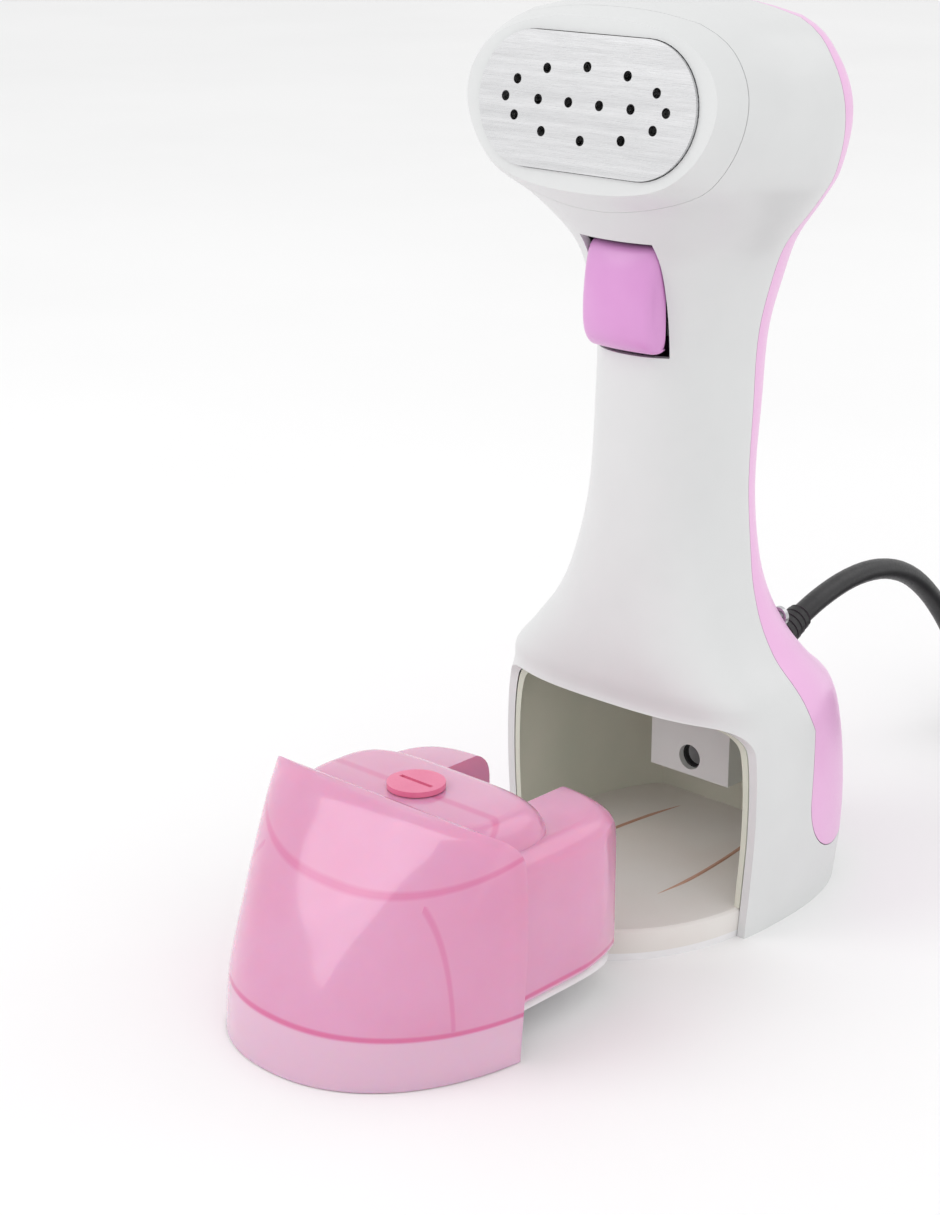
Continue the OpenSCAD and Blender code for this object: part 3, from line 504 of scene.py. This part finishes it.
def mouth(gap, low, top):
    """The room in front of the mouth's rear edge, with a rounded upper corner."""
    r, back = MOUTH_R - gap, MOUTH_EDGE - gap
    arc = [
        (back - r + r * math.cos(t), top - r + r * math.sin(t))
        for t in (math.radians(a) for a in range(0, 91, 6))
    ]
    return prism("mouth", [(-FAR, low), (back, low), *arc, (-FAR, top)])


def between(p, q, r, s, t):
    """A value between q and r on a smooth curve through p, q, r and s."""
    return (
        2 * q + (r - p) * t + (2 * p - 5 * q + 4 * r - s) * t * t + (3 * q - p - 3 * r + s) * t ** 3
    ) / 2


def smooth_line(points, steps=6):
    """A smooth curve through a short list of points."""
    line = []
    for i in range(len(points) - 1):
        a, b = points[max(i - 1, 0)], points[i]
        c, d = points[i + 1], points[min(i + 2, len(points) - 1)]
        for j in range(steps):
            line.append(tuple(between(*values, j / steps) for values in zip(a, b, c, d)))
    return line + [tuple(points[-1])]


def cover_line(gap):
    """The parting line of the rear cover seen from the side."""
    y, z, corner = 11 + gap, 14 + gap, 20
    arc = [
        (y + corner - corner * math.cos(t), z + corner - corner * math.sin(t))
        for t in (math.radians(a) for a in range(90, -1, -5))
    ]
    rise = [
        (y, MOUTH_H - 7), (y - 4.5, MOUTH_H + 1), (y - 7.5, SHOULDER_Z + 3), (y - 7.5, SHOULDER_Z + 11),
        (y - 4, HANDLE_Z - 4), (y - 0.5, HANDLE_Z + 14), (y + 0.5, HANDLE_TOP - 10), (y + 1, NECK_Z),
        (y - 1, NECK_Z + 20), (y - 6, TOTAL_H - 18), (y - 7, TOTAL_H + 10),
    ]
    return [(FAR, z), *arc, *smooth_line(rise), (FAR, TOTAL_H + 10)]


def on_head(p):
    """The place of a point given across, behind and up from the middle of the head's tilted face."""
    c, s = math.cos(HEAD_TILT), math.sin(HEAD_TILT)
    return (p[0], FACE_Y + p[1] * c + p[2] * s, HEAD_Z - p[1] * s + p[2] * c)


def head_box(name, y, z):
    """A box as wide as a prism, square to the head's face."""
    corners = ((y[0], z[0]), (y[1], z[0]), (y[1], z[1]), (y[0], z[1]))
    return prism(name, [on_head((0, *p))[1:] for p in corners])


def before_head(depth):
    """Everything in front of the plane at a depth behind the head's face."""
    return head_box("before_head", (-FAR, depth), (-FAR / 2, FAR / 2))


def oval(w, h, y0, y1):
    """A slab with round ends on the tilted face of the head."""
    r, steps = h / 2, 24
    outline = []
    for side, first in ((1, -90), (-1, 90)):
        for i in range(steps + 1):
            t = math.radians(first + 180 * i / steps)
            outline.append((side * (w / 2 - r) + r * math.cos(t), r * math.sin(t)))
    return tidy_normals(stack("oval", [[on_head((x, y, z)) for x, z in outline] for y in (y0, y1)]))


# ---------------------------------------------------------------- housing
GLAND, GLAND_RISE, GLAND_R = (0, 46, 55.5), math.radians(20), 5.3
SLOT_HALF_W, SLOT_Y, SLOT_Z = 12, (-60, -8), (157, 187.8)
# the rear cover's screws: across, height, and how far back the seat of the head lies
COVER_SCREWS = ((21, SHOULDER_Z + 10, 25.3), (-21, SHOULDER_Z + 10, 25.3), (0, HANDLE_TOP - 6, 28.3))
SCREW_R, SCREW_HEAD_R = 1.6, 3
BEZEL_LOW, PLATE_W, PLATE_H = -34, 70.4, 34.4


def make_housing():
    shell = form(0)
    cut(
        shell, form(WALL, -1, TOTAL_H - WALL), prism("cover", cover_line(0)), mouth(0, -1, MOUTH_H),
        before_head(BEZEL_T), block("slot", (-SLOT_HALF_W, SLOT_HALF_W), SLOT_Y, SLOT_Z),
    )
    painted(shell, "front_shell", white_shell)
    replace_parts(smooth(shell), "front_housing")
    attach(shell, "housing")


def make_rear_cover():
    cover = form(0)
    cut(cover, form(WALL, -1, TOTAL_H - WALL))
    common(cover, prism("cover", cover_line(SEAM)))
    for x, z, seat in COVER_SCREWS:
        cut(cover, rod("hole", (x, 15, z), (x, 60, z), SCREW_R))
        cut(cover, rod("recess", (x, seat, z), (x, 60, z), SCREW_HEAD_R))
    along = Vector((0, math.cos(GLAND_RISE), math.sin(GLAND_RISE)))
    cut(cover, rod("gland", Vector(GLAND) - 30 * along, Vector(GLAND) + 30 * along, GLAND_R))
    painted(cover, "rear_shell", orchid)
    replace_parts(smooth(cover), "rear_cover")
    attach(cover, "housing")


def make_bezel():
    bezel = common(form(0, NECK_Z - 20), before_head(BEZEL_T - SEAM))
    core = common(form(2 * WALL, NECK_Z - 20), head_box("core", (WALL, FAR), (-90, 90)))
    low = head_box("low", (-FAR, FAR), (-FAR, BEZEL_LOW))
    cut(bezel, before_head(0), low, core, oval(PLATE_W, PLATE_H, -5, BEZEL_T + 1))
    painted(bezel, "bezel_ring", white_shell)
    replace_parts(smooth(bezel), "head_bezel")
    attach(bezel, "housing")


LINER_IN, LINER_T, BAY_REAR = WALL + 2 * SEAM, 1.6, 40
BAY_IN = LINER_IN + LINER_T
TRAY_IN = 2.6
PIPE_Y, PIPE_R = 28, 4.2
GROOVE_X, GROOVE_HALF_W, GROOVE_DEPTH, GROOVE_Z = 10, 1.6, 3.5, 53


def make_liner():
    liner = form(LINER_IN, FLOOR_H, MOUTH_H + LINER_T)
    common(liner, block("before_rear", (-FAR, FAR), (-FAR, BAY_REAR + LINER_T), (0, FAR)))
    bay = form(BAY_IN, FLOOR_H - 1, MOUTH_H)
    common(bay, block("before_rear", (-FAR, FAR), (-FAR, BAY_REAR), (-FAR, FAR)))
    pipe = rod("pipe", (0, PIPE_Y, MOUTH_H - 1), (0, PIPE_Y, MOUTH_H + 5), PIPE_R)
    cut(liner, bay, mouth(0, -1, MOUTH_H), pipe)
    groove_y, groove_z = (BAY_REAR - GROOVE_DEPTH, BAY_REAR + 5), (GROOVE_Z, MOUTH_H + 5)
    for x in (-GROOVE_X, GROOVE_X):
        cut(liner, block("groove", (x - GROOVE_HALF_W, x + GROOVE_HALF_W), groove_y, groove_z))
    painted(liner, "bay_shell", ivory)
    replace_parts(smooth(liner), "bay_liner")
    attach(liner, "housing")


def make_tray():
    rings = []
    for inset, z in ((0, 2.0), (0, FLOOR_H - 1.2), (0.3, FLOOR_H - 0.5), (1.1, FLOOR_H)):
        rings.append(ring(section_at(z), TRAY_IN + inset, z))
    tray = stack("tray", rings)
    painted(tray, "bay_floor", floor_cream)
    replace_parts(smooth(tray, 25), "floor_tray")
    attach(tray, "housing")


# points of one floor rib, and its cross section: across and up, in millimetres
RIB_LINE = [(18.3, -22), (19.1, -10), (18.4, 4), (16.8, 18), (14.6, 30)]
RIB_SECTION = ((-0.9, -0.2), (-0.45, 0.38), (0.45, 0.38), (0.9, -0.2))
RIB_STEPS = 8


def make_floor_ridges():
    """Two low curved ribs on the bay floor, thin at their ends, that keep the tank's foot straight."""
    tan = surface("ridge_tan", ((0.50, 0.27, 0.19), (0.60, 0.36, 0.27)), (0.45, 0.6))
    for side, name in ((-1, "floor_rib_left"), (1, "floor_rib_right")):
        line = smooth_line(RIB_LINE, RIB_STEPS)
        points, faces = [], []
        for i, (x, y) in enumerate(line):
            taper = min(1, i / RIB_STEPS, (len(line) - 1 - i) / RIB_STEPS) * 0.75 + 0.05
            for across, up in RIB_SECTION:
                points.append((side * x + across * taper, y, FLOOR_H + up * taper))
        n = len(line)
        for i in range(n - 1):
            for k in range(4):
                a, b = i * 4 + k, i * 4 + (k + 1) % 4
                faces.append([a, b, b + 4, a + 4])
        faces += [[0, 1, 2, 3], [4 * n - 4, 4 * n - 1, 4 * n - 2, 4 * n - 3]]
        rib = smooth(tidy_normals(add_mesh(name, points, faces, tan)))
        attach(rib, "housing")


# ---------------------------------------------------------------- tank
TANK_OUT = -91
TANK_WALL = 2
TANK_GAP = 0.4
VESSEL_IN = BAY_IN + 0.8
VESSEL_HALF = HALF_W - 7.3
VESSEL_FRONT, VESSEL_REAR = -60, BAY_REAR - 3
VESSEL_Z, VESSEL_TOP, HUMP_TOP = 12.5, MOUTH_H - 10, 59.0
HUMP_HALF, HUMP_MIDDLE, HUMP_FRONT = 34, -8, -28
NOTCH_W, NOTCH_Y, NOTCH_Z = 30.4, 13.3, 25.5
CREST_R, CREST_LAYERS = 3, 28
NOZZLE_Z, NOZZLE_R = 33, 3.25
FILLER_Y, FILLER_R = -7, 6.2
TANK_BASE_Z = 9.5


def crested(inset, top):
    """The outer form with its top edge rolled over."""
    shoulder = top - CREST_R
    rings = []
    for j in range(CREST_LAYERS + 1):
        z = shoulder * j / CREST_LAYERS
        rings.append(ring(section_at(z), inset, z if j else -1))
    for t in (math.radians(7.5 * i) for i in range(1, 13)):
        z = shoulder + CREST_R * math.sin(t)
        rings.append(ring(section_at(z), inset + CREST_R * (1 - math.cos(t)), z))
    return stack("crested", rings)


def facade(inset, low, top):
    """The front of the tank, which closes the mouth of the bay."""
    return common(crested(inset, top), mouth(TANK_GAP + inset, low, top))


def vessel(inset, z0, top):
    """The low box of the tank inside the bay, from pairs of a height and how far it is drawn in."""
    section = (0, VESSEL_HALF - inset, 0, VESSEL_FRONT, VESSEL_REAR - inset, 4, 5)
    rings = []
    for z, less in (
        (z0 - 1, 0), (top - 7, 0), (top - 5, 0.3), (top - 3.4, 0.9), (top - 2.2, 1.8), (top - 1.2, 2.9),
        (top - 0.4, 4.1), (top, 5.4),
    ):
        rings.append(ring(section, less, z))
    return common(form(VESSEL_IN + inset, z0, top), stack("vessel", rings))


def hump(inset, z0, top):
    """The raised middle of the tank that carries the filler, in the same way."""
    section = (0, HUMP_HALF - inset, HUMP_MIDDLE, HUMP_FRONT + inset, NOTCH_Y - inset, 3, 4)
    rings = []
    line = smooth_line([
        (z0, -2), (top - 9, 0), (top - 6, 0.5), (top - 3.6, 1.6), (top - 1.7, 3.2), (top - 0.5, 5), (top, 7)
    ], 3)
    for z, less in line:
        rings.append(ring(section, less, z))
    return stack("hump", rings)


def notch(grow):
    """The room that the intake block takes at the tank's rear."""
    half = NOTCH_W / 2 + grow
    return block("notch", (-half, half), (NOTCH_Y - grow, FAR), (NOTCH_Z - grow, FAR))


def move_out(piece):
    """Takes a piece of the tank from its place in the bay to its place at rest."""
    piece.data.transform(Matrix.Translation((0, TANK_OUT * MM, 0)))
    return piece


def make_tank():
    shell = join(
        facade(0, 0.3, MOUTH_H - TANK_GAP), vessel(0, VESSEL_Z, VESSEL_TOP),
        hump(0, VESSEL_TOP - 6, HUMP_TOP),
    )
    inside = join(
        facade(TANK_WALL, VESSEL_Z - 1, MOUTH_H - TANK_GAP - TANK_WALL),
        vessel(TANK_WALL, VESSEL_Z - 1, VESSEL_TOP - TANK_WALL),
        hump(TANK_WALL, VESSEL_TOP - 8, HUMP_TOP - TANK_WALL),
    )
    cut(inside, notch(TANK_WALL))
    cut(
        shell, inside, notch(0), form(TANK_WALL, -1, VESSEL_Z),
        rod("nozzle_hole", (0, 0, NOZZLE_Z), (0, 60, NOZZLE_Z), NOZZLE_R),
        rod("filler_hole", (0, FILLER_Y, HUMP_TOP - 5), (0, FILLER_Y, HUMP_TOP + 5), FILLER_R),
    )
    painted(shell, "tank_body", pink_tank)
    move_out(shell)
    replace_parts(smooth(shell), "tank_shell")
    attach(shell, "tank")


def make_tank_base():
    front = form(TANK_WALL + SEAM, TANK_BASE_Z, VESSEL_Z)
    common(front, block("front_part", (-FAR, FAR), (-FAR, MOUTH_EDGE - TANK_GAP), (0, FAR)))
    rear = vessel(0, TANK_BASE_Z, VESSEL_Z)
    common(rear, block("rear_part", (-FAR, FAR), (MOUTH_EDGE - 1, FAR), (0, FAR)))
    plate = join(front, rear)
    painted(plate, "tank_floor", white_under)
    move_out(plate)
    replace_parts(smooth(plate), "tank_base")
    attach(plate, "tank")


# ---------------------------------------------------------------- trigger
PIVOT_Y, PIVOT_Z, PIVOT_R = -13.5, 182.5, 1.55
TRIGGER_HALF_W, TRIGGER_TOP, TRIGGER_LOW = 11.5, 187, 158
EAR_X = 6
CROWN, ROLL_IN, ROLL_UP, ROLL_FROM = 2.6, 0.96, 1.2, 0.8
TRIGGER_STRIPS = 40


def make_trigger():
    """A crowned paddle with rolled edges, and its two pivot ears."""
    y, z, half, top, low = PIVOT_Y, PIVOT_Z, TRIGGER_HALF_W, TRIGGER_TOP, TRIGGER_LOW
    middle_y, middle_z = y - 4, (top + low) / 2
    outline = [
        (y - 3, top), (y - 8, top - 0.8), (y - 10.6, top - 5), (y - 12, top - 12), (y - 12.4, low + 9),
        (y - 11.4, low + 4), (y - 8.6, low + 1), (y - 5, low + 0.3), (y - 2.6, low + 1.6), (y - 2, low + 5),
        (y - 2, z - 7), (y + 1.2, z - 3), (y + 2.3, z), (y + 1.2, z + 2.4),
    ]
    outline = smooth_line(outline + [outline[0]], 5)[:-1]
    rings = []
    for i in range(TRIGGER_STRIPS + 1):
        x = -half + 2 * half * i / TRIGGER_STRIPS
        edge = abs(x) / half
        roll = 1 - math.sqrt(max(0, 1 - max(0, (edge - ROLL_FROM) / (1 - ROLL_FROM)) ** 2))
        strip = []
        for p in outline:
            front = max(0, (y - 2 - p[0]) / 10)
            back = front * CROWN * edge ** 2 + math.copysign(roll * ROLL_IN, middle_y - p[0])
            strip.append((x, p[0] + back, p[1] + math.copysign(roll * ROLL_UP, middle_z - p[1])))
        rings.append(strip)
    paddle = tidy_normals(stack("paddle", rings))
    cut(
        paddle, block("between_ears", (-EAR_X, EAR_X), (y - 4.5, FAR), (z - 9, FAR)),
        rod("bore", (-20, y, z), (20, y, z), PIVOT_R),
    )
    painted(paddle, "trigger_paddle", orchid_trigger)
    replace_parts(smooth(paddle, 40), "trigger")
    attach(paddle, "trigger")


# ---------------------------------------------------------------- cord
CORD_D = 6.5
# from the end of the strain relief to the start of the coil
ROUTE = [
    (0, 66.7, 63), (0, 76, 65.9), (0, 88, 68.2), (0, 100, 68.6), (0, 112, 66.8), (0, 124, 62.2),
    (0.3, 135, 54.5), (1, 145, 44), (1.8, 153.5, 32.5), (2.7, 162, 21.5), (3.6, 171, 12.6), (4.5, 181, 7),
    (5, 190, 4.9),
]
# the coil's middle and underside, the middle diameter of its turns, and how far they spread from it
COIL_AT, COIL_Z, COIL_D, COIL_SPREAD = (44, 196), 1.3, 67.8, 5.36
COIL_OUT = COIL_D / 2 + COIL_SPREAD
COIL_IN = COIL_D / 2 - COIL_SPREAD
# degrees wound in all, and in each rise to the next layer
COIL_TURN, RISE_TURN = 2700, 110
COIL_LAYERS, COIL_STEPS = 4, 260
PLUG_R, PLUG_L = 14.5, 38
TAIL_SIDE, TAIL_FORWARD = 38.86, 44
TAIL_X, TAIL_Y, TAIL_Z = COIL_AT[0] + TAIL_SIDE, COIL_AT[1] - TAIL_FORWARD, PLUG_R + 0.5


def coil_points():
    """Flat layers, wound in and out by turns, with a gentle rise between them."""
    layer = (COIL_TURN - (COIL_LAYERS - 1) * RISE_TURN) / COIL_LAYERS
    points = []
    for i in range(COIL_STEPS + 1):
        at = COIL_TURN * i / COIL_STEPS
        level = min(COIL_LAYERS - 1, int(at // (layer + RISE_TURN)))
        along = at - level * (layer + RISE_TURN)
        inward = level % 2 == 0
        part = min(1, along / layer)
        r = COIL_OUT + (COIL_IN - COIL_OUT) * (part if inward else 1 - part)
        rise = max(0, min(1, (along - layer) / RISE_TURN))
        z = COIL_Z + CORD_D / 2 + CORD_D * (level + rise * rise * (3 - 2 * rise))
        t = math.radians(180 - at)
        points.append((COIL_AT[0] + r * math.cos(t), COIL_AT[1] + r * math.sin(t), z))
    return points


def make_cord():
    """The route down from the gland, the coil, and the tail that comes off it to the plug."""
    top = COIL_Z + (COIL_LAYERS - 0.5) * CORD_D
    tail = [
        (TAIL_X, COIL_AT[1] - 14, top - 1.5), (TAIL_X, COIL_AT[1] - 25, TAIL_Z + 4),
        (TAIL_X, COIL_AT[1] - 35, TAIL_Z + 0.8), (TAIL_X, TAIL_Y, TAIL_Z), (TAIL_X, TAIL_Y - 6, TAIL_Z),
    ]
    coil = coil_points()
    line = smooth_line(ROUTE, 3)[:-1] + coil + smooth_line([coil[-1], *tail], 4)[1:]
    curve = bpy.data.curves.new("mains_cord", "CURVE")
    curve.dimensions = "3D"
    curve.bevel_depth = CORD_D / 2 * MM
    curve.bevel_resolution = 6
    curve.use_fill_caps = True
    spline = curve.splines.new("POLY")
    spline.points.add(len(line) - 1)
    for point, place in zip(spline.points, line):
        point.co = (*[c * MM for c in place], 1)
    cord = bpy.data.objects.new("mains_cord", curve)
    bpy.context.scene.collection.objects.link(cord)
    curve.materials.append(cord_rubber)
    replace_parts(cord, "cord", "cord_coil", "cord_tail")
    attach(cord, "housing")
    return cord


def lathe(name, profile, start, direction, material, sides, wave=None):
    """A round piece from pairs of a distance along its axis and a radius, with the wave added to it."""
    turn = Vector(direction).to_track_quat("Z", "Y")
    rings = []
    for along, r in profile:
        ring_points = []
        for t in angles(sides):
            radius = r * (1 + (wave(along, t) if wave else 0))
            p = Vector((radius * math.cos(t), radius * math.sin(t), along))
            ring_points.append(tuple(Vector(start) + turn @ p))
        rings.append(ring_points)
    piece = tidy_normals(stack(name, rings))
    piece.data.materials.append(material)
    return smooth(piece, 40)


def make_strain_relief():
    """A ribbed sleeve that tapers to the cord."""
    profile = [(-2.2, 6.0), (-2.1, 6.2), (-0.7, 6.2), (-0.6, 5.2), (9.5, 5.2)]
    for k in range(5):
        at, r = 9.6 + 2.4 * k, 5.15 - 0.26 * k
        profile += [(at, r), (at + 0.2, r), (at + 1.4, r - 0.02), (at + 1.6, r - 0.5), (at + 2.2, r - 0.55)]
    profile += [(21.7, 3.9), (22, 3.55)]
    along = (0, math.cos(GLAND_RISE), math.sin(GLAND_RISE))
    relief = lathe("cord_sleeve", profile, GLAND, along, cord_rubber, 48)
    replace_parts(relief, "strain_relief")
    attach(relief, "housing")


def plug_grip(along, t):
    """Shallow grooves along the middle of the plug that fade towards both ends."""
    return 0.018 * math.cos(18 * t) * math.exp(-(((along - 10) / 5) ** 4))


def make_plug():
    """A round two-pin plug with a grooved grip and a tapered neck."""
    profile = [(0, 12.6), (0.5, 13.8), (1.4, 14.4), (3, 14.5), (14, 14.5), (16.5, 14.2), (18, 13.4)]
    profile += [(19, 12.6), (22, 11.2), (26, 9.2), (30, 7.2), (34, 5.4), (37, 4.4), (38, 4.0)]
    start = (TAIL_X, TAIL_Y - PLUG_L, TAIL_Z)
    body = lathe("plug_shell", smooth_line(profile, 4), start, (0, 1, 0), black_plastic, 144, plug_grip)
    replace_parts(body, "plug_body")
    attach(body, "housing")
    return body


TIE_HALF_W, TIE_HALF_REACH, TIE_LOW = 3.2, 9.9, 0.7
TIE_TOP = COIL_Z + COIL_LAYERS * CORD_D + 0.6


def along_coil(name, outline, half_w):
    """An outline in Y and Z, drawn along X to both sides of the coil's middle."""
    rings = [[(COIL_AT[0] + side * half_w, *p) for p in outline] for side in (-1, 1)]
    return tidy_normals(stack(name, rings))


def make_tie():
    """A flat strap round one side of the coil."""
    y, z, half_h = COIL_AT[1] + COIL_D / 2, (TIE_TOP + TIE_LOW) / 2, (TIE_TOP - TIE_LOW) / 2
    loop = [
        (y + TIE_HALF_REACH * power(math.cos(t), 5), z + half_h * power(math.sin(t), 5)) for t in angles(64)
    ]
    inner = [(y + (p[0] - y) * 0.93, z + (p[1] - z) * 0.95) for p in loop]
    outer = cut(along_coil("strap", loop, TIE_HALF_W), along_coil("inside", inner, TIE_HALF_W + 2))
    painted(outer, "coil_strap", tie_plastic)
    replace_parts(smooth(outer, 40), "coil_tie")
    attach(outer, "housing")
    return outer


cord = make_cord()
make_strain_relief()
plug = make_plug()
tie = make_tie()
make_housing()
make_rear_cover()
make_bezel()
make_liner()
make_tray()
make_floor_ridges()
make_tank()
make_tank_base()
make_trigger()


# ---------------------------------------------------------------- stage
FLOOR_HALF = 12000


def add_light(name, place, target, size, power_w, tint=(1, 1, 1)):
    light = bpy.data.lights.new(name, "AREA")
    light.size = size
    light.energy = power_w
    light.color = tint
    holder = bpy.data.objects.new(name, light)
    holder.location = place
    holder.rotation_euler = (Vector(target) - Vector(place)).to_track_quat("-Z", "Y").to_euler()
    bpy.context.scene.collection.objects.link(holder)


def make_stage():
    floor_paint = surface(
        "floor_paint", ((0.90, 0.90, 0.90), (0.92, 0.92, 0.92)), (0.7, 0.8), patch=3, grain=200, relief=0.02
    )
    corners = [(x * FLOOR_HALF, y * FLOOR_HALF, 0) for x, y in ((-1, -1), (1, -1), (1, 1), (-1, 1))]
    floor = add_mesh("floor", corners, [[0, 1, 2, 3]], floor_paint)
    world = bpy.data.worlds.new("studio")
    world.use_nodes = True
    world.node_tree.nodes["Background"].inputs["Color"].default_value = (1, 1, 1, 1)
    world.node_tree.nodes["Background"].inputs["Strength"].default_value = 0.95
    bpy.context.scene.world = world
    bpy.context.scene.view_settings.view_transform = "Standard"
    middle = (0, -0.03, 0.1)
    add_light("key", (-0.75, -1.0, 1.0), middle, 0.9, 4.6)
    add_light("fill", (1.3, -0.7, 0.7), middle, 1.2, 1.6)
    add_light("rim", (0.5, 1.0, 1.1), middle, 0.9, 2.0)


make_stage()
